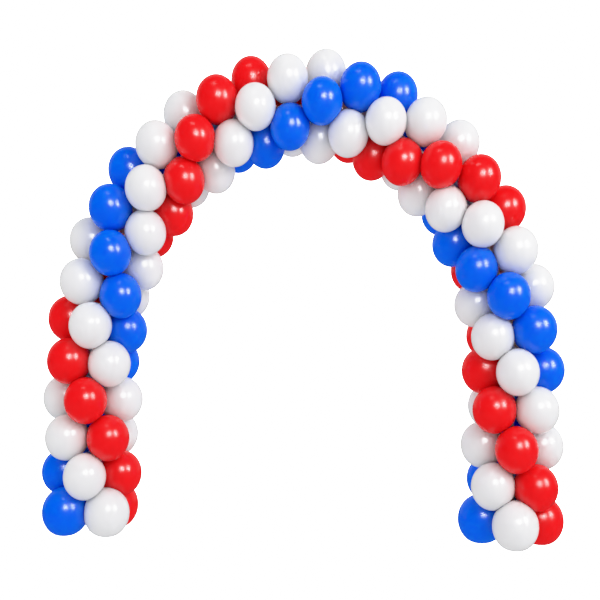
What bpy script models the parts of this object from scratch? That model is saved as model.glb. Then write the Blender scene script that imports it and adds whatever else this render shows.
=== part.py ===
"""Balloon arch: thirty clusters of four balloons, threaded on one bent rod.

The tied necks of a cluster's four balloons meet in one knot round the rod. Each cluster is turned an eighth
of a turn from the one before it, so that its balloons settle between their neighbours, and each colour winds
round the arch. Lengths are in metres: X is the arch's width, -Y its front and +Z up. The origin is on the
ground, midway between the feet.

Every balloon of the arch is taller than wide. So the arch is first laid out with round balloons, only a little
shortened along the rod, and then stretched upwards by TALL. A length or a point that is called laid out is one
from before that stretch.
"""

import math
from dataclasses import dataclass

import bmesh
import bpy
import numpy as np
from mathutils import Matrix, Vector

# --- Driving dimensions -------------------------------------------------------------------------------
BALLOON_RADIUS = 0.120   # half the width of a blown-up balloon, across the rod
TALL = 1.15              # stretch of the whole arch upwards, after it is laid out
SQUEEZE = 0.965          # width of a balloon along the rod, where others press on it, over its width across
CLUSTERS = 30            # from foot to foot
RING_RADIUS = 0.170      # from the rod's axis to the centre of a balloon
HALF_SPAN = 1.200        # from the middle of the arch to the axis of a leg
LEG_HEIGHT = 0.690       # laid out, from the lowest balloons' centres to where the crown begins
CROWN_RISE = 1.345       # laid out, from there to the top of the rod
GROUND_FLAT = 0.005      # laid out, how far the lowest balloons are pressed flat by the ground
GAP = 0.0006             # between two balloons that press on each other

ROD_RADIUS = 0.010
KNOT_CLEARANCE = 0.0006  # from the rod to the inside of a knot
KNOT_THICKNESS = 0.016   # of the ring that the tied necks make
NECK_RADIUS = 0.009      # of a balloon's neck, where it leaves the round part
NECK_START = 0.036       # from the rod's axis to there
NECK_END = 0.016         # from the rod's axis to the tip of the neck, inside the knot

# --- Fineness -----------------------------------------------------------------------------------------
AROUND = 8               # sides of a balloon, counted about its own axis
BANDS = 6                # rings of faces from a balloon's crown to its neck
BAND_ANGLE = math.radians(33.0)  # from each of its body's rings of points to the next
OUTSIDE = 1.04           # its rings of points lie this far out, so that its flat faces lie on the round form
LINE_STEPS = 4000        # fineness of the centreline's measured length

# --- Colours ------------------------------------------------------------------------------------------
COLOURS = {
    "latex_white": (0.86, 0.86, 0.88),
    "latex_red": (0.84, 0.012, 0.018),
    "latex_blue": (0.0, 0.13, 1.0),
}
ROD_COLOUR = (0.78, 0.78, 0.76)


@dataclass(frozen=True)
class Strand:
    """One of the four winding rows of balloons, and the first cluster that has its balloon in front."""

    material: str
    front_cluster: int


STRANDS = (
    Strand("latex_white", 2),
    Strand("latex_red", 4),
    Strand("latex_white", 6),
    Strand("latex_blue", 8),
)
TURN = math.radians(45.0)      # of each cluster from the one before it
SWAPPED_CLUSTER = 23           # here the balloons of the first two strands have changed places
FRONT = Vector((0.0, -1.0, 0.0))


# --- Layout -------------------------------------------------------------------------------------------
def centreline():
    """Laid-out centreline from ground to ground: straight legs and a half ellipse between them."""
    angle = np.linspace(0.0, math.pi, LINE_STEPS)
    springing = FOOT + LEG_HEIGHT
    x = np.concatenate(([-HALF_SPAN], -HALF_SPAN * np.cos(angle), [HALF_SPAN]))
    z = np.concatenate(([0.0], springing + CROWN_RISE * np.sin(angle), [0.0]))
    run = np.concatenate(([0.0], np.cumsum(np.hypot(np.diff(x), np.diff(z)))))
    return x, z, run


FOOT = BALLOON_RADIUS * SQUEEZE - GROUND_FLAT      # laid-out height of the lowest balloons' centres
LINE_X, LINE_Z, LINE_RUN = centreline()
PITCH = (LINE_RUN[-1] - 2.0 * FOOT) / (CLUSTERS - 1)


def on_line(run):
    """The laid-out point that lies a given distance along the centreline."""
    return Vector((np.interp(run, LINE_RUN, LINE_X), 0.0, np.interp(run, LINE_RUN, LINE_Z)))


def stretched(point):
    """The real place of a laid-out point."""
    return Vector((point.x, point.y, point.z * TALL))


@dataclass
class Station:
    """The place of one cluster on the rod, which runs straight for half a pitch through it."""

    number: int
    before: Vector
    after: Vector

    @property
    def centre(self):
        """Laid-out middle of the cluster."""
        return (self.before + self.after) / 2.0

    @property
    def along(self):
        """Laid-out direction of the rod."""
        return (self.after - self.before).normalized()

    @property
    def outer(self):
        """Laid-out direction away from the inside of the arch."""
        return FRONT.cross(self.along)


def station(number):
    """The station of a cluster, which are counted from 1 at the left foot."""
    run = FOOT + (number - 1) * PITCH
    return Station(number, on_line(run - PITCH / 4.0), on_line(run + PITCH / 4.0))


@dataclass
class Seat:
    """The place of one balloon: a strand's balloon in the cluster at a station. All of it is laid out."""

    station: Station
    strand: Strand

    @property
    def outward(self):
        """Direction from the rod to the balloon."""
        angle = TURN * (self.station.number - self.strand.front_cluster)
        return FRONT * math.cos(angle) + self.station.outer * math.sin(angle)

    @property
    def centre(self):
        """Middle of the balloon's round part."""
        return self.station.centre + self.outward * RING_RADIUS

    @property
    def axes(self):
        """Matrix with columns along the rod, across it, and outward."""
        outward = self.outward
        along = self.station.along
        return Matrix((along, outward.cross(along), outward)).transposed()

    @property
    def material(self):
        """Name of the balloon's material."""
        strand = self.strand
        if self.station.number == SWAPPED_CLUSTER and strand in STRANDS[:2]:
            strand = STRANDS[1 - STRANDS.index(strand)]
        return strand.material

    @property
    def on_ground(self):
        """Whether it is one of the lowest balloons, which the ground presses flat."""
        return self.centre.z < BALLOON_RADIUS * SQUEEZE


def limits(seat, others):
    """Planes midway to the balloons that a balloon presses on, which it may not cross.

    The two round forms are shorter along the rod, so the plane through the circle where they would cross is
    square to their distance only once that is lengthened along the rod by the square of the shortening.

    Each plane is a unit direction and a distance from the balloon's centre.
    """
    planes = []
    for other in others:
        offset = other.centre - seat.centre
        along = (seat.station.along + other.station.along).normalized()
        direction = offset + along * (offset.dot(along) * (SQUEEZE**-2 - 1.0))
        if 0.0 < offset.dot(direction) < (2.0 * BALLOON_RADIUS) ** 2:
            direction.normalize()
            planes.append((direction, (offset.dot(direction) - GAP) / 2.0))
    return planes


# --- Shapes -------------------------------------------------------------------------------------------
def shape_balloon(mesh, planes, axes):
    """Turn a unit sphere, with its poles at its own axis, into a balloon with a neck.

    The crown is a point on the balloon's round form. The rings after it lie BAND_ANGLE apart, a little
    outside that form, and the last ring and the pole after it are the neck. Each point that crosses a plane
    is drawn in towards the balloon's centre until it lies on that plane.
    """
    squeezed = Vector((SQUEEZE, 1.0, 1.0))
    for point in mesh.verts:
        ring = round(math.acos(max(-1.0, min(1.0, point.co.z))) / math.pi * BANDS)
        side = Vector((point.co.x, point.co.y, 0.0))
        if side.length > 0.0:
            side.normalize()
        if ring < BANDS - 1:
            angle = ring * BAND_ANGLE
            reach = BALLOON_RADIUS * (OUTSIDE if ring else 1.0)
            place = (side * math.sin(angle) + Vector((0.0, 0.0, math.cos(angle)))) * squeezed * reach
        elif ring == BANDS - 1:
            place = side * NECK_RADIUS - Vector((0.0, 0.0, RING_RADIUS - NECK_START))
        else:
            place = -Vector((0.0, 0.0, RING_RADIUS - NECK_END))
        place = axes @ place
        for direction, distance in planes:
            if place.dot(direction) > distance:
                place *= distance / place.dot(direction)
        point.co = place


def flatten_on_ground(mesh):
    """Cut away what lies below the ground, and close the cut with a flat face."""
    cut = bmesh.ops.bisect_plane(
        mesh, geom=mesh.verts[:] + mesh.edges[:] + mesh.faces[:],
        plane_co=(0.0, 0.0, 0.0), plane_no=(0.0, 0.0, -1.0), clear_outer=True,
    )
    edges = [item for item in cut["geom_cut"] if isinstance(item, bmesh.types.BMEdge)]
    bmesh.ops.contextual_create(mesh, geom=edges)
    bmesh.ops.recalc_face_normals(mesh, faces=mesh.faces[:])


def add_balloon(name, seat, planes, collection):
    """A hidden balloon, which its cluster's knot is joined to."""
    middle = stretched(seat.station.centre)
    mesh = bmesh.new()
    bmesh.ops.create_uvsphere(mesh, u_segments=AROUND, v_segments=BANDS, radius=1.0)
    shape_balloon(mesh, planes, seat.axes)
    for point in mesh.verts:
        point.co = stretched(point.co + seat.centre)
    if seat.on_ground:
        flatten_on_ground(mesh)
    bmesh.ops.translate(mesh, verts=mesh.verts[:], vec=-middle)
    data = bpy.data.meshes.new(name)
    mesh.to_mesh(data)
    mesh.free()
    data.shade_smooth()
    data.materials.append(bpy.data.materials[seat.material])
    balloon = bpy.data.objects.new(name, data)
    balloon.location = middle
    balloon.hide_render = True
    balloon.display_type = "WIRE"
    collection.objects.link(balloon)


def add_cluster(place, seats, arch):
    """Four balloons and the knot that holds them, as one body on the rod."""
    name = f"cluster_{place.number:02d}"
    balloons = bpy.data.collections.new(f"{name}_balloons")
    bpy.context.scene.collection.children.link(balloons)
    balloons.hide_render = True
    own = [seat for seat in seats if seat.station is place]
    for count, seat in enumerate(own, start=1):
        add_balloon(f"{name}_balloon_{count}", seat, limits(seat, seats), balloons)

    inside = ROD_RADIUS + KNOT_CLEARANCE
    bpy.ops.mesh.primitive_torus_add(
        major_segments=AROUND, minor_segments=4,
        major_radius=inside + KNOT_THICKNESS / 2.0, minor_radius=KNOT_THICKNESS / 2.0,
    )
    knot = bpy.context.object
    knot.name = name
    knot.data.name = name
    rod = stretched(place.along).normalized()
    turned = Matrix((FRONT, rod.cross(FRONT), rod)).transposed()
    knot.matrix_world = Matrix.Translation(stretched(place.centre)) @ turned.to_4x4()
    for material in COLOURS:
        knot.data.materials.append(bpy.data.materials[material])
    knot.data.shade_smooth()
    move_to(knot, arch)

    joined = knot.modifiers.new("balloons", "BOOLEAN")
    joined.operation = "UNION"
    joined.operand_type = "COLLECTION"
    joined.collection = balloons
    joined.material_mode = "TRANSFER"


def add_rod(places, arch):
    """The bent rod, from the ground at one foot through every knot to the ground at the other."""
    points = [on_line(0.0)]
    for place in places:
        points += [place.before, place.after]
    points.append(on_line(LINE_RUN[-1]))

    data = bpy.data.curves.new("rod", "CURVE")
    data.dimensions = "3D"
    data.bevel_depth = ROD_RADIUS
    data.bevel_resolution = 2
    data.use_fill_caps = True
    spline = data.splines.new("POLY")
    spline.points.add(len(points) - 1)
    for point, place in zip(spline.points, points):
        point.co = (*stretched(place), 1.0)
    data.materials.append(bpy.data.materials["rod"])
    arch.objects.link(bpy.data.objects.new("rod", data))


# --- Scene --------------------------------------------------------------------------------------------
def add_material(name, colour, roughness):
    """A plain material of one colour."""
    material = bpy.data.materials.new(name)
    material.use_nodes = True
    shader = material.node_tree.nodes["Principled BSDF"]
    shader.inputs["Base Color"].default_value = (*colour, 1.0)
    shader.inputs["Roughness"].default_value = roughness
    shader.inputs["Metallic"].default_value = 0.0
    material.diffuse_color = (*colour, 1.0)
    return material


def move_to(item, collection):
    """Keep an object in one collection only."""
    for old in item.users_collection:
        old.objects.unlink(item)
    collection.objects.link(item)


def main():
    """Build the arch."""
    for item in list(bpy.data.objects):
        bpy.data.objects.remove(item)
    for name, colour in COLOURS.items():
        add_material(name, colour, roughness=0.12)
    add_material("rod", ROD_COLOUR, roughness=0.45)
    arch = bpy.data.collections.new("balloon_arch")
    bpy.context.scene.collection.children.link(arch)

    places = [station(number) for number in range(1, CLUSTERS + 1)]
    seats = [Seat(place, strand) for place in places for strand in STRANDS]
    for place in places:
        add_cluster(place, seats, arch)
    add_rod(places, arch)


main()
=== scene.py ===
"""Looks of a balloon arch: latex balloons in clusters of four, tied by their necks round one bent rod.

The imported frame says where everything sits. The rod's own line of points gives the middle of each cluster
and the way the rod runs there, and the frame's depth gives the reach of the balloons. From these the skins
of the balloons are worked out as grids of points, each pressed flat where it meets its neighbours or the
ground.

Every balloon is taller than wide. So, as in the frame, the arch is laid out with round balloons and is then
stretched upwards. "Laid out" below means before that stretch. Lengths are in metres.
"""

import logging
import math
from dataclasses import dataclass, field
from enum import Enum

import bpy
import numpy as np
from mathutils import Matrix, Vector


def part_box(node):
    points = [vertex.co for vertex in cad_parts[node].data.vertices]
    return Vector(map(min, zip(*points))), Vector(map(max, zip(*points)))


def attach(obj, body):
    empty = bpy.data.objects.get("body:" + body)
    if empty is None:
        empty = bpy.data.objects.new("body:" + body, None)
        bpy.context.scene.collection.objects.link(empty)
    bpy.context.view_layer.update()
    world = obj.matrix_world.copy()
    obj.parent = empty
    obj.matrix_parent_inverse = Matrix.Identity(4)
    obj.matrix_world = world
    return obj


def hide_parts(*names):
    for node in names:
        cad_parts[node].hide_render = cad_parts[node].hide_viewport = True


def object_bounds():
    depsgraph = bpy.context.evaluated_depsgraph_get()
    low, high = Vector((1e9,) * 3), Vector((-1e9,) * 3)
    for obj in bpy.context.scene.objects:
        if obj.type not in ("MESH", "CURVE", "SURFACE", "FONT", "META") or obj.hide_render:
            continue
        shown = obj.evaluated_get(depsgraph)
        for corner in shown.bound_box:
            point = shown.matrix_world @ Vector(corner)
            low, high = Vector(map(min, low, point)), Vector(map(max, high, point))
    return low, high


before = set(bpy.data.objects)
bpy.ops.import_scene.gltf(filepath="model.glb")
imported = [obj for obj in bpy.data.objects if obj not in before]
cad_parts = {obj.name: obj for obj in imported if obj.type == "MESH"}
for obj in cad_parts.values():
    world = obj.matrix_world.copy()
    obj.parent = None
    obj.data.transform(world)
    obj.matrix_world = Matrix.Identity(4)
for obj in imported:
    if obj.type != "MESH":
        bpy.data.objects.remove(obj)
CAD_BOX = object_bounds()

LOG = logging.getLogger("balloon_arch")
SEED = 11
FRONT = np.array((0.0, -1.0, 0.0))
FULL_TURN = 2.0 * math.pi
NEAR = 1e-3              # two corners of the frame's rod nearer than this count as one
FRAME_DECIMALS = 4       # that the frame's points are rounded to, before equal ones are merged
SHOULDER_MARK = 0.8      # number along a balloon's skin map at its shoulder: 0 is the crown, 1 the mouth
NECK_MARK = 0.9          # the same at its tied neck


# ======================================================================================================
# Small helpers
# ======================================================================================================
def unit(vectors: np.ndarray) -> np.ndarray:
    """Scale vectors to length one.

    Args:
        vectors: One vector, or rows of vectors.

    Returns:
        The same array with every vector divided by its length.
    """
    return vectors / np.linalg.norm(vectors, axis=-1, keepdims=True)


def smooth_step(low: float, high: float, value: np.ndarray) -> np.ndarray:
    """Rise from 0 at low to 1 at high along the cubic 3t^2 - 2t^3, and stay level outside.

    Args:
        low: Where the rise starts.
        high: Where it ends.
        value: The numbers to map.

    Returns:
        Numbers from 0 to 1.
    """
    share = np.clip((value - low) / (high - low), 0.0, 1.0)
    return share * share * (3.0 - 2.0 * share)


def circle(around: int) -> np.ndarray:
    """Points of a unit circle, one row each, going round the way that turns a tube's faces out."""
    angle = np.arange(around) * FULL_TURN / around
    return np.stack((np.cos(angle), -np.sin(angle)), axis=-1)


# ======================================================================================================
# Layout, read from the frame
# ======================================================================================================
class Latex(Enum):
    """The latex colours. Each value is the name of its material slot."""

    WHITE = "latex_white"
    RED = "latex_red"
    BLUE = "latex_blue"


@dataclass(frozen=True)
class Strand:
    """One of the four rows of balloons that wind round the arch.

    Attributes:
        latex: Colour of its balloons.
        front_cluster: The first cluster, counted from 1 at the left foot, that has its balloon in front.
    """

    latex: Latex
    front_cluster: int


@dataclass(frozen=True)
class Seat:
    """Where one balloon is tied and which way it points. All of it is laid out.

    Attributes:
        cluster: Number of its cluster, from 1 at the left foot.
        place: Number of its strand, from 1.
        latex: Its colour.
        knot: Point on the rod's axis that it is tied at.
        along: Direction of the rod there.
        outward: Direction from the rod to the balloon.
        reach: From the rod's axis to the balloon's centre.
        radius: Half the balloon's width across the rod.
        squeeze: Its width along the rod over that.
    """

    cluster: int
    place: int
    latex: Latex
    knot: np.ndarray
    along: np.ndarray
    outward: np.ndarray
    reach: float
    radius: float
    squeeze: float

    @property
    def name(self) -> str:
        """Name of the balloon's piece."""
        return f"balloon_{self.cluster:02d}_{self.place}"

    @property
    def centre(self) -> np.ndarray:
        """Middle of the round part."""
        return self.knot + self.outward * self.reach

    @property
    def axes(self) -> np.ndarray:
        """Rows along the rod, across it, and outward."""
        along = unit(self.along - self.outward * np.dot(self.along, self.outward))
        return np.stack((along, np.cross(self.outward, along), self.outward))


@dataclass
class ArchLayout:
    """Places and sizes of all the balloons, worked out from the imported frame.

    Attributes:
        balloon_radius: Half a balloon's width.
        tall: Stretch of the whole arch upwards.
        squeeze: Width of a balloon along the rod, where others press on it, over its width across.
        ground_flat: How far the lowest balloons are pressed flat by the ground.
        turn: Angle of each cluster from the one before it.
        swapped_cluster: The cluster where the balloons of the first two strands have changed places.
        straight: Share of the way to the next cluster over which the rod's direction is read.
        slack: Size of a skin over that of the balloon's place, so that neighbours press on it lightly.
        bend_spread: Share by which it is bigger outside the sharpest bend, and smaller inside it.
        size_spread: Largest share by which a balloon is bigger or smaller than the rest.
        tilt_spread: Largest angle by which a balloon leans off its place.
        foot_swell: Size of the lowest balloons over the rest.
        foot_lift: How much higher up the rod those are tied, which leaves room for their size.
        strands: The rows of balloons that wind round the arch.
    """

    balloon_radius: float = 0.120
    tall: float = 1.15
    squeeze: float = 0.965
    ground_flat: float = 0.005
    turn: float = math.radians(45.0)
    swapped_cluster: int = 23
    straight: float = 0.2
    slack: float = 0.986
    bend_spread: float = 0.022
    size_spread: float = 0.010
    tilt_spread: float = math.radians(0.8)
    foot_swell: float = 1.07
    foot_lift: float = 0.0055
    strands: tuple[Strand, ...] = (
        Strand(Latex.WHITE, 2),
        Strand(Latex.RED, 4),
        Strand(Latex.WHITE, 6),
        Strand(Latex.BLUE, 8),
    )

    @property
    def ring_radius(self) -> float:
        """From the rod's axis to a balloon's centre: half the arch's depth less a balloon's radius."""
        return CAD_BOX[1].y - self.balloon_radius

    @property
    def foot(self) -> float:
        """Laid-out height of the lowest balloons' centres."""
        return self.balloon_radius * self.squeeze - self.ground_flat

    @property
    def rod_radius(self) -> float:
        """Half the rod's thickness, which is its depth in the frame."""
        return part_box("rod")[1].y

    def stretched(self, points: np.ndarray) -> np.ndarray:
        """The real places of laid-out points."""
        return points * np.array((1.0, 1.0, self.tall))

    def rod_line(self) -> np.ndarray:
        """The corners of the rod's axis, in order from the left foot to the right one.

        The rod's rearmost points lie one radius behind its axis. They are sorted by the height climbed: up
        to the top on the left, and then on as it comes down on the right.

        Returns:
            One row for each corner, at its real place.
        """
        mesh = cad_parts["rod"].data
        points = np.empty(len(mesh.vertices) * 3)
        mesh.vertices.foreach_get("co", points)
        points = np.unique(np.round(points.reshape(-1, 3), FRAME_DECIMALS), axis=0)
        rear = points[points[:, 1] > points[:, 1].max() - NEAR] * np.array((1.0, 0.0, 1.0))
        climbed = np.where(rear[:, 0] < 0.0, rear[:, 2], 2.0 * rear[:, 2].max() - rear[:, 2])
        rear = rear[np.argsort(climbed)]
        apart = np.linalg.norm(np.diff(rear, axis=0), axis=1)
        return rear[np.append(True, apart > NEAR)]

    def seats(self) -> list[Seat]:
        """The seat of every balloon.

        The clusters are spaced evenly along the laid-out rod, and the rod runs straight through each of
        them. A strand's balloon is turned from the front towards the outside of the arch by one turn for
        each cluster that has passed since the strand was in front.

        Returns:
            Four seats for each cluster, from the left foot to the right one.
        """
        draw = np.random.default_rng(SEED)
        line = self.rod_line() / np.array((1.0, 1.0, self.tall))
        run = np.concatenate(([0.0], np.cumsum(np.linalg.norm(np.diff(line, axis=0), axis=1))))
        clusters = sum(name.startswith("cluster_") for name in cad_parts)
        middles = np.linspace(self.foot, run[-1] - self.foot, clusters)
        reach = (middles[1] - middles[0]) * self.straight
        before, after = (
            np.stack([np.interp(middles + step, run, line[:, axis]) for axis in range(3)], axis=1)
            for step in (-reach, reach)
        )
        alongs = unit(after - before)
        bends = np.linalg.norm(np.gradient(alongs, axis=0), axis=1)
        bends = bends / bends.max()
        knots = (before + after) / 2.0
        seats = []
        for number, (knot, along, bend) in enumerate(zip(knots, alongs, bends), start=1):
            outer = np.cross(FRONT, along)
            at_foot = number in (1, clusters)
            lift = np.array((0.0, 0.0, self.foot_lift if at_foot else 0.0))
            for place, strand in enumerate(self.strands, start=1):
                angle = self.turn * (number - strand.front_cluster)
                outward = FRONT * math.cos(angle) + outer * math.sin(angle)
                lean = draw.uniform(-1.0, 1.0, 3) * math.tan(self.tilt_spread)
                size = 1.0 + draw.uniform(-1.0, 1.0) * self.size_spread
                size += math.sin(angle) * bend * self.bend_spread
                seats.append(Seat(
                    cluster=number,
                    place=place,
                    latex=self.latex_at(number, place),
                    knot=knot + lift,
                    along=along,
                    outward=outward if at_foot else unit(outward + lean),
                    reach=self.ring_radius,
                    radius=self.balloon_radius * self.slack * (self.foot_swell if at_foot else size),
                    squeeze=self.squeeze,
                ))
        return seats

    def latex_at(self, number: int, place: int) -> Latex:
        """The colour of a strand's balloon in a cluster, with the swap of one cluster in it."""
        if number == self.swapped_cluster and place <= 2:
            place = 3 - place
        return self.strands[place - 1].latex


# ======================================================================================================
# Surfaces
# ======================================================================================================
@dataclass(frozen=True)
class TubeGrid:
    """The faces of a closed surface of rings between two poles.

    Points are numbered from the first pole, ring by ring, to the last pole.

    Attributes:
        rings: Number of rings.
        around: Points in a ring.
    """

    rings: int
    around: int

    def corner_grid(self) -> np.ndarray:
        """Point numbers of the rings, with the first column repeated after the last one."""
        grid = 1 + np.arange(self.rings * self.around).reshape(self.rings, self.around)
        return np.concatenate((grid, grid[:, :1]), axis=1)

    def faces(self) -> list[list[int]]:
        """A fan at each pole, and between two rings a square for each column."""
        grid = self.corner_grid()
        last = self.rings * self.around + 1
        first_fan = np.stack((np.zeros(self.around, int), grid[0, 1:], grid[0, :-1]), axis=1)
        last_fan = np.stack((np.full(self.around, last), grid[-1, :-1], grid[-1, 1:]), axis=1)
        squares = np.stack((grid[:-1, :-1], grid[:-1, 1:], grid[1:, 1:], grid[1:, :-1]), axis=-1)
        return first_fan.tolist() + squares.reshape(-1, 4).tolist() + last_fan.tolist()

    def skin_map(self, lengthways: np.ndarray) -> np.ndarray:
        """Coordinates on the skin for each corner of each face, in the order of faces().

        Args:
            lengthways: One number for each ring, which grows from the first pole to the last.

        Returns:
            Rows of (share of the way round, number along).
        """
        share = np.arange(self.around + 1) / self.around
        middle = (share[:-1] + share[1:]) / 2.0
        low, high = share[:-1], share[1:]

        def rows(parts: list[tuple[np.ndarray, float | np.ndarray]]) -> np.ndarray:
            """Corner coordinates of one band of faces."""
            return np.stack([np.stack(np.broadcast_arrays(u, v), axis=-1) for u, v in parts], axis=-2)

        first = rows([(middle, 0.0), (high, lengthways[0]), (low, lengthways[0])])
        last = rows([(middle, 1.0), (low, lengthways[-1]), (high, lengthways[-1])])
        above, below = lengthways[:-1, None], lengthways[1:, None]
        squares = rows([(low[None], above), (high[None], above), (high[None], below), (low[None], below)])
        return np.concatenate((first.reshape(-1, 2), squares.reshape(-1, 2), last.reshape(-1, 2)))


class Piece:
    """A finished mesh object that rides on the arch."""

    @staticmethod
    def make(name: str, grid: TubeGrid, points: np.ndarray, lengthways: np.ndarray) -> bpy.types.Object:
        """Put a closed surface into a mesh object at the origin.

        Args:
            name: Name of the object and its mesh.
            grid: The faces.
            points: Places of all the points, in the order of the grid.
            lengthways: Number along the surface for each ring, which the skin map holds.

        Returns:
            The object, shaded smooth, with its faces pointing out.
        """
        mesh = bpy.data.meshes.new(name)
        mesh.from_pydata(points.tolist(), [], grid.faces())
        skin = mesh.uv_layers.new(name="skin")
        skin.data.foreach_set("uv", grid.skin_map(lengthways).ravel())
        mesh.shade_smooth()
        mesh.validate()
        mesh.update()
        piece = bpy.data.objects.new(name, mesh)
        bpy.context.scene.collection.objects.link(piece)
        return piece


@dataclass(frozen=True)
class Swelling:
    """A ring-shaped swelling of a balloon's tail, which is a knot or a rolled lip.

    Attributes:
        height: What it adds to the radius.
        place: Where it lies, as a share of the tail's rings.
        width: How far it spreads, as such a share.
    """

    height: float
    place: float
    width: float

    def at(self, share: np.ndarray) -> np.ndarray:
        """What it adds at each share: height exp(-((share - place) / width)^2)."""
        return self.height * np.exp(-(((share - self.place) / self.width) ** 2))


@dataclass
class BalloonSkin:
    """The skin of a balloon, from its crown over its neck and knot to the rolled lip of its mouth.

    Attributes:
        around: Points in a ring.
        body_rings: Rings from the crown to the shoulder by the neck.
        neck_rings: Rings from the shoulder to the tied neck.
        tail_rings: Rings along the knot and the mouth.
        shoulder: Angle from the crown to the ring where the neck begins.
        drawn_out: How much longer the side by the neck is than the crown's side, as a share.
        firmness: The higher it is, the sharper a pressed flat is bounded.
        ground_firmness: The same for the flat on the ground, which bears little.
        gap: Left between two skins that press on each other.
        pleats: Number of folds that gather the skin at the neck.
        pleat_depth: Depth of those folds, as a share of the ring's radius.
        pleat_run: Share of a half wave that their depth runs through from the shoulder to the tied neck.
        neck_radius: Radius of the tied neck.
        neck_at: From the rod's axis to the tied neck.
        neck_bend: Height where the neck's columns bend, from 0 at the tied neck to 1 at the shoulder.
        tail_line: The points after the tied neck that draw the tail, along the rod and from its axis.
        tail_thinning: How much thinner the tail is beyond the knot than the tied neck.
        thinning_from: Where along the tail that starts, as a share of its rings.
        thinning_to: Where it is complete.
        knot: The knot.
        lip: The rolled lip.
        mouth_from: Where along the tail its rings turn in to close the mouth.
        mouth_way: Direction of the tail there, along the rod and away from its axis.
        mouth_depth: How far they turn in.
        mouth_narrowing: Share of their radius that they lose.
    """

    around: int = 44
    body_rings: int = 34
    neck_rings: int = 6
    tail_rings: int = 16
    shoulder: float = math.radians(166.0)
    drawn_out: float = 0.13
    firmness: float = 64.0
    ground_firmness: float = 16.0
    gap: float = 0.0004
    pleats: int = 11
    pleat_depth: float = 0.10
    pleat_run: float = 0.8
    neck_radius: float = 0.0062
    neck_at: float = 0.0290
    neck_bend: float = 0.93
    tail_line: tuple[tuple[float, float], ...] = ((0.0, 0.0155), (0.014, 0.0175), (0.038, 0.0335))
    tail_thinning: float = 0.0014
    thinning_from: float = 0.35
    thinning_to: float = 0.60
    knot: Swelling = Swelling(height=0.0034, place=0.30, width=0.12)
    lip: Swelling = Swelling(height=0.0026, place=0.84, width=0.045)
    mouth_from: float = 0.86
    mouth_way: tuple[float, float] = (1.0, 0.6)
    mouth_depth: float = 0.010
    mouth_narrowing: float = 0.45

    @property
    def grid(self) -> TubeGrid:
        """The faces, the same for every balloon."""
        return TubeGrid(self.body_rings + self.neck_rings + self.tail_rings, self.around)

    @property
    def lengthways(self) -> np.ndarray:
        """Number of each ring along the skin map, which grows evenly between its marks."""
        return np.concatenate((
            np.linspace(0.0, SHOULDER_MARK, self.body_rings + 1)[1:],
            np.linspace(SHOULDER_MARK, NECK_MARK, self.neck_rings + 1)[1:],
            np.linspace(NECK_MARK, 1.0, self.tail_rings + 1)[1:],
        ))

    def planes(self, seat: Seat, seats: list[Seat]) -> tuple[np.ndarray, np.ndarray]:
        """The planes that its neighbours press the balloon flat on.

        Two balloons meet on the plane through the circle where their round forms would cross. Lengthened
        along the rod until the forms are round, their distance D has the direction D + (s^-2 - 1)(D.t)t,
        with the squeeze s and the rod's direction t, and the square of its length is Q, the product of the
        two. The plane is square to that direction, and cuts D at the share (1 + (r^2 - q^2) / Q) / 2, for
        their radii r and q. Neighbours are those whose Q is less than the square of
        (r + q)(1 + drawn_out / 2), which is more room than two of these eggs take up side by side. Q is
        never less than the square of D, so balloons further off than that are left out first. That leaves
        out the opposite leg's, where the rod runs the other way and t has no meaning.

        Args:
            seat: The balloon.
            seats: All the balloons.

        Returns:
            Unit directions, and the distance of each plane from the balloon's centre.
        """
        room = 1.0 + self.drawn_out / 2.0
        close = [
            other for other in seats if other is not seat
            and math.dist(other.centre, seat.centre) < (other.radius + seat.radius) * room
        ]
        offsets = np.stack([other.centre for other in close]) - seat.centre
        radii = np.array([other.radius for other in close])
        along = unit(np.stack([other.along for other in close]) + seat.along)
        run = (offsets * along).sum(axis=1, keepdims=True)
        directions = offsets + along * run * (seat.squeeze**-2 - 1.0)
        apart = (offsets * directions).sum(axis=1)
        near = apart < ((radii + seat.radius) * room) ** 2
        share = (1.0 + (seat.radius**2 - radii[near] ** 2) / apart[near]) / 2.0
        directions = unit(directions[near])
        meet = (offsets[near] * directions).sum(axis=1) * share - self.gap / 2.0
        return directions, meet

    def on_ground(self, seat: Seat, toward: np.ndarray, reach: np.ndarray) -> np.ndarray:
        """Press the skin softly on the ground.

        Straight down the free skin would reach R = r s (1 + drawn_out / 32). Where that is more than the
        height h of the centre, the reach becomes (reach^-g + max(-z, 0)^g (h^-g - R^-g))^(-1/g), where g is
        the ground's firmness and z the upward part of the direction. Straight down that is h.

        Args:
            seat: The balloon.
            toward: Directions from its centre.
            reach: How far the skin lies in each of them.

        Returns:
            The reach with the ground in place.
        """
        height = seat.centre[2]
        free = seat.radius * seat.squeeze * (1.0 + self.drawn_out / 32.0)
        if free <= height:
            return reach
        power = self.ground_firmness
        pressed = np.maximum(-toward[..., 2], 0.0) ** power * (height**-power - free**-power)
        return (reach**-power + pressed) ** (-1.0 / power)

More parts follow.
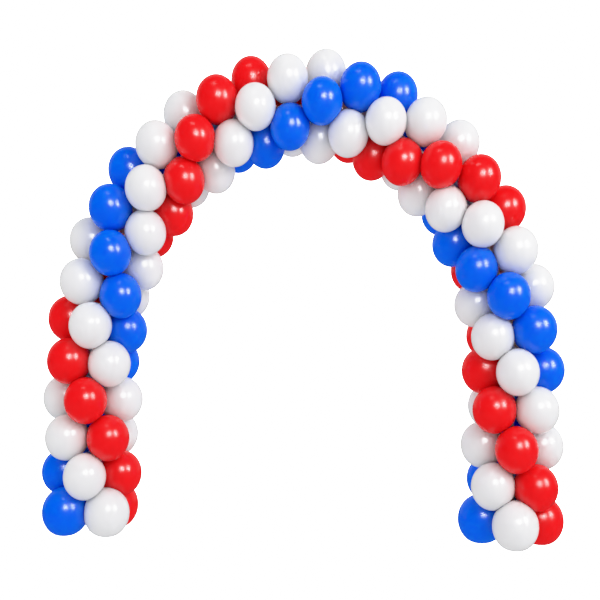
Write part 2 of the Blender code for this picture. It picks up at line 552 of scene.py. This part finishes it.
    def body(self, seat: Seat, seats: list[Seat]) -> np.ndarray:
        """Rings of the round part.

        In the direction u, at the angle a from the crown, the free skin lies at
        R = r (1 + drawn_out ((1 - cos a) / 2)^5) / sqrt(1 + (s^-2 - 1)(u.t)^2), an egg squeezed by s along
        the rod's direction t. Pressed on planes with directions n and distances d, it lies at
        (R^-p + sum (max(u.n, 0) / d)^p)^(-1/p), where p is the firmness: far from a plane that is R, and
        straight over one it is d, with a soft edge between. The ground presses it last.

        Args:
            seat: The balloon.
            seats: All the balloons.

        Returns:
            Laid-out points, as rings by columns by three.
        """
        angle = np.linspace(0.0, self.shoulder, self.body_rings + 1)[1:, None]
        sides = circle(self.around) * np.sin(angle)[..., None]
        upward = np.broadcast_to(np.cos(angle)[..., None], sides[..., :1].shape)
        local = np.concatenate((sides, upward), axis=-1)
        toward = local @ seat.axes
        free = seat.radius * (1.0 + self.drawn_out * ((1.0 - np.cos(angle)) / 2.0) ** 5)
        free = free / np.sqrt(1.0 + (seat.squeeze**-2 - 1.0) * local[..., 0] ** 2)
        directions, distances = self.planes(seat, seats)
        pressed = np.maximum(toward @ directions.T, 0.0) / distances
        reach = (free**-self.firmness + (pressed**self.firmness).sum(axis=-1)) ** (-1.0 / self.firmness)
        reach = self.on_ground(seat, toward, reach)
        return seat.centre + toward * reach[..., None]

    def neck(self, seat: Seat, shoulder: np.ndarray) -> np.ndarray:
        """Rings from the shoulder to the tied neck.

        Each column is a quadratic curve that leaves the shoulder inwards and arrives along the axis.
        Towards the neck the skin gathers into pleats, a ripple of the radius by a cosine of the way round.

        Args:
            seat: The balloon.
            shoulder: The last ring of the round part.

        Returns:
            Laid-out points, as rings by columns by three.
        """
        along, across, outward = seat.axes
        sides = circle(self.around)
        ring = (sides[:, :1] * along + sides[:, 1:] * across) * self.neck_radius
        height = ((shoulder - seat.knot) @ outward).mean()
        bend_at = height * self.neck_bend + self.neck_at * (1.0 - self.neck_bend)
        bend = seat.knot + outward * bend_at + ring
        end = seat.knot + outward * self.neck_at + ring
        share = np.linspace(0.0, 1.0, self.neck_rings + 1)[1:, None, None]
        rings = (1.0 - share) ** 2 * shoulder + 2.0 * share * (1.0 - share) * bend + share**2 * end
        axis = seat.knot + ((rings - seat.knot) @ outward)[..., None] * outward
        turn = np.arange(self.around) * FULL_TURN * self.pleats / self.around
        depth = self.pleat_depth * np.sin(share[..., 0] * math.pi * self.pleat_run)
        ripple = 1.0 + depth * np.cos(turn)
        return axis + (rings - axis) * ripple[..., None]

    def tail(self, seat: Seat, lean: float) -> tuple[np.ndarray, np.ndarray]:
        """Rings of the knot and of the loose mouth with its rolled lip.

        The tail bends away from the neck to lie along the rod. Its middle line is the cubic Bezier curve
        of the tied neck and the points of tail_line. Its radius is the neck's, thinner beyond the knot,
        with the swellings of the knot and the lip. The last rings turn in to close the mouth.

        Args:
            seat: The balloon.
            lean: 1 where the mouth points along the rod, -1 where it points back.

        Returns:
            Laid-out points, as rings by columns by three, and the point that closes the mouth.
        """
        along, across, outward = seat.axes
        control = np.array(((0.0, self.neck_at), *self.tail_line))
        share = np.linspace(0.0, 1.0, self.tail_rings + 1)[1:]
        run = np.minimum(share / self.mouth_from, 1.0)[:, None]
        weights = np.concatenate(
            ((1 - run) ** 3, 3 * run * (1 - run) ** 2, 3 * run**2 * (1 - run), run**3), axis=1
        )
        flat = weights @ control
        slope = np.gradient(flat, axis=0)
        slope[~slope.any(axis=1)] = self.mouth_way
        slope = unit(slope)
        closing = smooth_step(self.mouth_from, 1.0, share)
        flat = flat - slope * (closing * self.mouth_depth)[:, None]
        thinner = self.tail_thinning * smooth_step(self.thinning_from, self.thinning_to, share)
        radius = self.neck_radius - thinner + self.knot.at(share) + self.lip.at(share)
        radius = radius * (1.0 - self.mouth_narrowing * closing)
        forward = slope[:, :1] * lean * along + slope[:, 1:] * outward
        normal = np.cross(across, forward)
        middle = seat.knot + flat[:, :1] * lean * along + flat[:, 1:] * outward
        sides = circle(self.around)
        ring = sides[:, :1] * -normal[:, None] + sides[:, 1:] * across
        rings = middle[:, None] + ring * radius[:, None, None]
        return rings, middle[-1]

    def points(self, seat: Seat, seats: list[Seat], lean: float) -> np.ndarray:
        """All the laid-out points of a balloon, in the order of its grid."""
        body = self.body(seat, seats)
        neck = self.neck(seat, body[-1])
        tail, mouth = self.tail(seat, lean)
        first = (body[0] - seat.centre).mean(axis=0)
        crown = seat.centre + first / math.cos(self.shoulder / self.body_rings)
        rings = np.concatenate((body, neck, tail)).reshape(-1, 3)
        return np.concatenate((crown[None], rings, mouth[None]))


# ======================================================================================================
# Shaders
# ======================================================================================================
class Link:
    """A socket of numbers that can be reckoned with, each step adding a Math node."""

    def __init__(self, tree: "Nodes", socket: bpy.types.NodeSocket) -> None:
        """Wrap a socket of a node tree."""
        self.tree = tree
        self.socket = socket

    def step(self, operation: str, *values: "Link | float") -> "Link":
        """Add a Math node of one operation on this number and others."""
        return self.tree.add("ShaderNodeMath", {"operation": operation}, *values)

    def __add__(self, other: "Link | float") -> "Link":
        """Sum."""
        return self.step("ADD", self, other)

    def __sub__(self, other: "Link | float") -> "Link":
        """Difference."""
        return self.step("SUBTRACT", self, other)

    def __rsub__(self, other: float) -> "Link":
        """Difference from a number."""
        return self.step("SUBTRACT", other, self)

    def __mul__(self, other: "Link | float") -> "Link":
        """Product."""
        return self.step("MULTIPLY", self, other)

    __radd__ = __add__
    __rmul__ = __mul__

    def rise(self, low: float, high: float) -> "Link":
        """A smooth rise from 0 at low to 1 at high."""
        return self.tree.add("ShaderNodeMapRange", {"interpolation_type": "SMOOTHSTEP"}, self, low, high)


class Nodes:
    """A node tree, with one method that makes any node."""

    def __init__(self, tree: bpy.types.NodeTree) -> None:
        """Wrap a node tree, and find its shader."""
        self.nodes = tree.nodes
        self.links = tree.links
        self.shader = next(node for node in tree.nodes if node.type in ("BSDF_PRINCIPLED", "BACKGROUND"))

    def connect(self, value: "Link | float | tuple", socket: bpy.types.NodeSocket) -> None:
        """Link a value to a socket, or set it there."""
        if isinstance(value, Link):
            self.links.new(value.socket, socket)
        else:
            socket.default_value = value

    def add(self, kind: str, settings: dict[str, object], *values: object, **named: object) -> Link:
        """Add a node.

        Args:
            kind: The node's type.
            settings: Its own properties, which are set first.
            *values: Values or links of its first inputs that are in use, in order.
            **named: Values or links of inputs by name, with _ for a space.

        Returns:
            Its first output that is in use.
        """
        node = self.nodes.new(kind)
        for key, value in settings.items():
            setattr(node, key, value)
        used = [socket for socket in node.inputs if socket.enabled]
        for socket, value in zip(used, values):
            self.connect(value, socket)
        for key, value in named.items():
            self.connect(value, node.inputs[key.replace("_", " ")])
        return Link(self, next(socket for socket in node.outputs if socket.enabled))

    def output(self, link: Link, name: str) -> Link:
        """Another output of the node that a link comes from."""
        return Link(self, link.socket.node.outputs[name])

    def rays(self, kind: str) -> Link:
        """1 for rays of one kind, and 0 for others."""
        return self.output(self.add("ShaderNodeLightPath", {}), kind)

    def place(self) -> Link:
        """Place in the arch's own frame."""
        return self.output(self.add("ShaderNodeTexCoord", {}), "Object")

    def along_skin(self) -> Link:
        """Number along a balloon's skin map, from 0 at the crown to 1 at the mouth."""
        split = self.add("ShaderNodeSeparateXYZ", {}, self.add("ShaderNodeUVMap", {"uv_map": "skin"}))
        return self.output(split, "Y")

    def noise(self, vector: Link, scale: float, detail: float = 2.0) -> Link:
        """Noise from 0 to 1 with features about 1/scale metres across."""
        return self.add("ShaderNodeTexNoise", {}, Vector=vector, Scale=scale, Detail=detail)

    def mix(self, share: Link, low: tuple, high: tuple) -> Link:
        """A colour between two, by a share."""
        return self.add("ShaderNodeMix", {"data_type": "RGBA"}, share, low, high)

    def level(self, share: Link, low: "Link | float", high: "Link | float") -> Link:
        """A number between two, by a share."""
        return self.add("ShaderNodeMix", {"data_type": "FLOAT", "clamp_factor": False}, share, low, high)

    def set(self, **values: object) -> None:
        """Set or link sockets of the shader, named with _ for a space."""
        for key, value in values.items():
            self.connect(value, self.shader.inputs[key.replace("_", " ")])


def new_material(name: str) -> tuple[bpy.types.Material, Nodes]:
    """A material with only its shader and its output, and its nodes."""
    material = bpy.data.materials.new(name)
    material.use_nodes = True
    return material, Nodes(material.node_tree)


@dataclass(frozen=True)
class LatexFinish:
    """Finish of a blown-up latex skin.

    Attributes:
        latex: Which latex it is.
        colour: Where the skin is stretched thin.
        deep: Where it is thick, at the neck, the knot and the lip.
        roughness: Of the stretched skin.
        cloud_roughness: What the clouds of thickness add to it.
        gathered_roughness: What the gathered neck adds to it.
        gathered_from: Number along the skin map where the neck begins to gather.
        gathered_to: Where it is all gathered.
        crown_to: Where the thicker skin of the crown ends.
        gathered_depth: How deep in colour the gathered neck is, as a share.
        crown_depth: The same for the crown.
        cloud_depth: The same for the clouds.
        cloud_scale: Clouds to a metre.
        grain_scale: Grains to a metre.
    """

    latex: Latex
    colour: tuple[float, float, float]
    deep: tuple[float, float, float]
    roughness: float = 0.22
    cloud_roughness: float = 0.04
    gathered_roughness: float = 0.30
    gathered_from: float = 0.74
    gathered_to: float = 0.92
    crown_to: float = 0.07
    gathered_depth: float = 0.85
    crown_depth: float = 0.10
    cloud_depth: float = 0.10
    cloud_scale: float = 7.0
    grain_scale: float = 900.0

    def material(self) -> bpy.types.Material:
        """Build the material.

        Returns:
            A glossy skin, deeper and duller at the neck, with faint clouds of thickness and a fine grain.
        """
        material, nodes = new_material(self.latex.value)
        place = nodes.place()
        along = nodes.along_skin()
        gathered = along.rise(self.gathered_from, self.gathered_to)
        crown = 1.0 - along.rise(0.0, self.crown_to)
        clouds = nodes.noise(place, self.cloud_scale).rise(0.3, 0.7)
        grain = nodes.noise(place, self.grain_scale, detail=1.0)
        thick = gathered * self.gathered_depth + crown * self.crown_depth + clouds * self.cloud_depth
        rougher = clouds * self.cloud_roughness + gathered * self.gathered_roughness
        thin_colour, deep_colour = (*self.colour, 1.0), (*self.deep, 1.0)
        nodes.set(Base_Color=thin_colour)
        nodes.set(
            Base_Color=nodes.mix(thick, thin_colour, deep_colour),
            Roughness=rougher + self.roughness,
            Normal=nodes.add("ShaderNodeBump", {}, Strength=0.02, Distance=0.0005, Height=grain),
            IOR=1.4,
            Subsurface_Weight=1.0,
            Subsurface_Radius=(1.0, 1.0, 1.0),
            Subsurface_Scale=0.10,
        )
        return material


FINISHES = (
    LatexFinish(Latex.WHITE, (0.815, 0.815, 0.828), (0.88, 0.88, 0.89)),
    LatexFinish(Latex.RED, (0.91, 0.011, 0.015), (0.52, 0.002, 0.006)),
    LatexFinish(Latex.BLUE, (0.001, 0.157, 0.95), (0.0, 0.045, 0.48)),
)


# ======================================================================================================
# Pieces
# ======================================================================================================
@dataclass
class BalloonArch:
    """All the balloons of the arch, one piece each.

    Attributes:
        layout: Where they sit.
        skin: Their shape.
    """

    layout: ArchLayout = field(default_factory=ArchLayout)
    skin: BalloonSkin = field(default_factory=BalloonSkin)

    def build(self) -> list[bpy.types.Object]:
        """Make, dress and mount every balloon.

        Returns:
            The pieces.
        """
        materials = {finish.latex: finish.material() for finish in FINISHES}
        seats = self.layout.seats()
        grid, lengthways = self.skin.grid, self.skin.lengthways
        made = []
        for seat in seats:
            lean = 1.0 if seat.place % 2 else -1.0
            points = self.layout.stretched(self.skin.points(seat, seats, lean))
            piece = Piece.make(seat.name, grid, points, lengthways)
            piece.data.materials.append(materials[seat.latex])
            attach(piece, "root")
            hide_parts(f"cluster_{seat.cluster:02d}")
            made.append(piece)
        LOG.info("balloons: %d pieces of %d points", len(made), len(made[0].data.vertices))
        return made


@dataclass
class BentRod:
    """The plastic rod that the clusters are tied round.

    Attributes:
        layout: Where it runs.
        around: Points in a ring.
        steps: Rings between two corners of its line.
        colour: Of the plastic.
        scuffed: Of the plastic where it is scuffed.
        roughness: Of the plastic.
        scuff_roughness: What the scuffs add to it.
        edge: Angle between two faces from which their edge stays sharp.
        scuff_scale: Scuffs to a metre.
        grain_scale: Grains to a metre.
    """

    layout: ArchLayout
    around: int = 24
    steps: int = 4
    colour: tuple[float, float, float] = (0.74, 0.74, 0.72)
    scuffed: tuple[float, float, float] = (0.62, 0.62, 0.60)
    roughness: float = 0.38
    scuff_roughness: float = 0.18
    edge: float = math.radians(50.0)
    scuff_scale: float = 60.0
    grain_scale: float = 700.0

    def middle_line(self) -> np.ndarray:
        """The rod's axis, bent smoothly through the corners of its line.

        Between two corners it is the cubic curve that leaves each of them parallel to the line through the
        corners on both sides, which is known as Catmull-Rom.

        Returns:
            Points from the left foot to the right one.
        """
        corners = self.layout.rod_line()
        first, last = 2 * corners[:1] - corners[1:2], 2 * corners[-1:] - corners[-2:-1]
        padded = np.concatenate((first, corners, last))[:, None]
        a, b, c, d = padded[:-3], padded[1:-2], padded[2:-1], padded[3:]
        t = (np.arange(self.steps) / self.steps)[:, None]
        square, cube = 2 * a - 5 * b + 4 * c - d, 3 * b - a - 3 * c + d
        curve = 0.5 * (2 * b + (c - a) * t + square * t**2 + cube * t**3)
        return np.concatenate((curve.reshape(-1, 3), corners[-1:]))

    def build(self) -> bpy.types.Object:
        """Make, dress and mount the rod: a circle carried along its axis.

        Returns:
            The piece.
        """
        line = self.middle_line()
        forward = unit(np.gradient(line, axis=0))
        forward[[0, -1]] = (0.0, 0.0, 1.0), (0.0, 0.0, -1.0)
        outer = np.cross(FRONT, forward)
        sides = circle(self.around)
        ring = sides[:, :1] * FRONT + sides[:, 1:] * outer[:, None]
        rings = line[:, None] + ring * self.layout.rod_radius
        points = np.concatenate((line[:1], rings.reshape(-1, 3), line[-1:]))
        grid = TubeGrid(len(line), self.around)
        piece = Piece.make("bent_rod", grid, points, np.linspace(0.0, 1.0, len(line)))
        piece.data.set_sharp_from_angle(angle=self.edge)
        piece.data.materials.append(self.material())
        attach(piece, "root")
        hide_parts("rod")
        LOG.info("rod: %d points", len(points))
        return piece

    def material(self) -> bpy.types.Material:
        """Off-white plastic tube with faint scuffs along it and a fine extruded grain."""
        material, nodes = new_material("rod")
        place = nodes.place()
        scuffs = nodes.noise(place, self.scuff_scale, detail=4.0).rise(0.45, 0.75)
        grain = nodes.noise(place, self.grain_scale, detail=1.0)
        clean = (*self.colour, 1.0)
        nodes.set(Base_Color=clean)
        nodes.set(
            Base_Color=nodes.mix(scuffs, clean, (*self.scuffed, 1.0)),
            Roughness=scuffs * self.scuff_roughness + self.roughness,
            Normal=nodes.add("ShaderNodeBump", {}, Strength=0.15, Distance=0.0004, Height=grain),
        )
        return material


# ======================================================================================================
# Studio
# ======================================================================================================
@dataclass(frozen=True)
class Panel:
    """A soft oval light panel that faces the middle of the arch.

    Attributes:
        name: Its name.
        azimuth: Degrees to the right of straight in front.
        height: Degrees above level.
        radiance: Brightness of its surface.
        distance: From the middle of the arch.
        width: Across.
        tall: Up and down.
        mirrored: Whether it only shows as a reflection in glossy skins, or else only lights them.
    """

    name: str
    azimuth: float
    height: float
    radiance: float
    distance: float = 13.0
    width: float = 9.0
    tall: float = 7.0
    mirrored: bool = True

    @property
    def toward(self) -> Vector:
        """Direction to the panel."""
        azimuth, height = math.radians(self.azimuth), math.radians(self.height)
        level = math.cos(height)
        return Vector((math.sin(azimuth) * level, -math.cos(azimuth) * level, math.sin(height)))

    @property
    def power(self) -> float:
        """Watts of an ellipse of this brightness: pi times its area times its radiance."""
        return math.pi * (math.pi * self.width * self.tall / 4.0) * self.radiance


@dataclass
class Studio:
    """Floor, lights, surroundings and camera.

    Attributes:
        panels: The panels.
        ambient: Light that reaches the arch evenly from all round.
        overhead: That light from straight above.
        bounce: That light from straight below, off the floor.
        backdrop: Brightness of the surroundings as they are seen, which is shown as white.
        knee: Brightness from which tones are bent towards white.
        tone_steps: Number of steps in that bend.
        mirrored_floor: Brightness of the floor as glossy skins mirror it.
        mirrored_back: Brightness of the white wall behind the arch as glossy skins mirror it.
        floor_fade: Sine of the angle below level over which the mirrored floor fades in.
        wall_fade: The same for the foot of the mirrored wall.
        wall_from: Backward part of the direction where the mirrored wall starts to show.
        wall_to: Where it shows in full.
        floor_half: Half the floor's side.
        floor_grey: The floor's share of reflected light.
        floor_glow: Brightness that the floor has of its own, as on a lit table.
        eye: The camera's place.
        pan: Its turn to the left.
        tilt: Its turn upwards.
        roll: Its turn about its own axis.
        lens: Focal length in millimetres.
        sensor: Width of the sensor in millimetres.
    """

    panels: tuple[Panel, ...] = (
        Panel("key_round", azimuth=14.0, height=21.0, distance=12.0, width=5.8, tall=4.7, radiance=27.0),
        Panel("key_tall", azimuth=54.0, height=21.0, distance=13.0, width=4.6, tall=5.6, radiance=29.0),
        Panel("overhead", azimuth=-19.0, height=61.0, distance=12.0, width=4.6, tall=1.6, radiance=7.0),
        Panel("right_fill", azimuth=50.0, height=30.0, radiance=4.8, mirrored=False),
        Panel("left_fill", azimuth=-60.0, height=10.0, radiance=1.6, mirrored=False),
        Panel("back_fill", azimuth=180.0, height=15.0, radiance=4.0, mirrored=False),
    )
    ambient: float = 0.64
    overhead: float = 0.80
    bounce: float = 0.92
    backdrop: float = 3.5
    knee: float = 0.80
    tone_steps: int = 14
    mirrored_floor: float = 0.10
    mirrored_back: float = 0.45
    floor_fade: float = 0.25
    wall_fade: float = 0.05
    wall_from: float = 0.1
    wall_to: float = 0.6
    floor_half: float = 60.0
    floor_grey: float = 0.55
    floor_glow: float = 2.60
    eye: tuple[float, float, float] = (0.254, -5.764, 1.336)
    pan: float = math.radians(2.68)
    tilt: float = math.radians(0.20)
    roll: float = math.radians(1.06)
    lens: float = 60.5
    sensor: float = 36.0

    def build(self) -> None:
        """Make all of it."""
        self.add_surroundings()
        self.add_floor()
        for panel in self.panels:
            self.add_panel(panel)
        self.add_camera()
        self.set_tones()
        LOG.info("studio: %d panels", len(self.panels))

    def add_surroundings(self) -> None:
        """Pale light from all round, most of it from above.

        What glossy skins mirror is a dark room in front, a pale floor and a white wall behind. The camera
        sees a plain white.
        """
        world = bpy.data.worlds.new("surroundings")
        world.use_nodes = True
        nodes = Nodes(world.node_tree)
        toward = nodes.add("ShaderNodeSeparateXYZ", {}, nodes.add("ShaderNodeTexCoord", {}))
        depth, height = nodes.output(toward, "Y"), nodes.output(toward, "Z")
        lit = nodes.level(height.rise(0.0, 1.0), self.ambient, self.overhead)
        lit = nodes.level(height.rise(-1.0, 0.0), self.bounce, lit)
        floor = (1.0 - height.rise(-self.floor_fade, 0.0)) * self.mirrored_floor
        wall = depth.rise(self.wall_from, self.wall_to) * height.rise(-self.wall_fade, 0.0)
        wall = wall * self.mirrored_back
        light = nodes.level(nodes.rays("Is Glossy Ray"), lit, floor + wall)
        nodes.set(
            Color=(1.0, 1.0, 1.0, 1.0),
            Strength=nodes.level(nodes.rays("Is Camera Ray"), light, self.backdrop),
        )
        world.cycles.sampling_method = "NONE"
        bpy.context.scene.world = world

    def set_tones(self) -> None:
        """Bend the brightest tones as a print does.

        Up to the knee k a brightness x stays as it is. Above it, the tone is
        1 - (1 - k) exp(-(x - k) / (1 - k)), which leaves the knee without a corner and nears white.
        """
        view = bpy.context.scene.view_settings
        view.view_transform = "Standard"
        view.use_curve_mapping = True
        view.curve_mapping.white_level = (self.backdrop,) * 3
        curve = view.curve_mapping.curves[-1]  # the last one bends all channels alike
        share = np.linspace(0.0, 1.0, self.tone_steps + 1) ** 2
        bright = share * (self.backdrop - self.knee) + self.knee
        tones = 1.0 - (1.0 - self.knee) * np.exp(-(bright - self.knee) / (1.0 - self.knee))
        for x, tone in zip(bright[:-1], tones[:-1]):
            curve.points.new(x / self.backdrop, tone)
        for point in curve.points:
            point.handle_type = "VECTOR"
        view.curve_mapping.update()

    def add_floor(self) -> None:
        """A plain pale floor under the arch."""
        half = self.floor_half
        mesh = bpy.data.meshes.new("floor")
        corners = [(-half, -half, 0), (half, -half, 0), (half, half, 0), (-half, half, 0)]
        mesh.from_pydata(corners, [], [(0, 1, 2, 3)])
        floor = bpy.data.objects.new("floor", mesh)
        floor.visible_glossy = False
        floor.visible_diffuse = False
        floor.visible_shadow = False
        bpy.context.scene.collection.objects.link(floor)
        material, nodes = new_material("floor")
        nodes.set(
            Base_Color=(self.floor_grey, self.floor_grey, self.floor_grey, 1.0),
            Roughness=0.9,
            Specular_IOR_Level=0.0,
            Emission_Color=(1.0, 1.0, 1.0, 1.0),
            Emission_Strength=self.floor_glow,
        )
        mesh.materials.append(material)

    def add_panel(self, panel: Panel) -> None:
        """Hang a panel, facing the middle of the arch."""
        low, high = CAD_BOX
        light = bpy.data.lights.new(panel.name, "AREA")
        light.shape = "ELLIPSE"
        light.size = panel.width
        light.size_y = panel.tall
        light.energy = panel.power
        lamp = bpy.data.objects.new(panel.name, light)
        lamp.location = (low + high) / 2.0 + panel.toward * panel.distance
        lamp.rotation_euler = (-panel.toward).to_track_quat("-Z", "Y").to_euler()
        lamp.visible_camera = False
        lamp.visible_glossy = panel.mirrored
        lamp.visible_diffuse = not panel.mirrored
        bpy.context.scene.collection.objects.link(lamp)

    def add_camera(self) -> None:
        """A nearly level camera, a little right of the middle and turned back to it, with a slight roll."""
        camera = bpy.data.cameras.new("camera")
        camera.sensor_width = self.sensor
        camera.lens = self.lens
        item = bpy.data.objects.new("camera", camera)
        turned = (
            Matrix.Translation(self.eye)
            @ Matrix.Rotation(self.pan, 4, "Z")
            @ Matrix.Rotation(math.radians(90.0) + self.tilt, 4, "X")
            @ Matrix.Rotation(self.roll, 4, "Z")
        )
        item.matrix_world = turned
        bpy.context.scene.collection.objects.link(item)
        bpy.context.scene.camera = item


def main() -> None:
    """Build the arch and its studio."""
    logging.basicConfig(level=logging.INFO, format="%(name)s %(message)s")
    arch = BalloonArch()
    arch.build()
    BentRod(arch.layout).build()
    Studio().build()


if __name__ == "__main__":
    main()
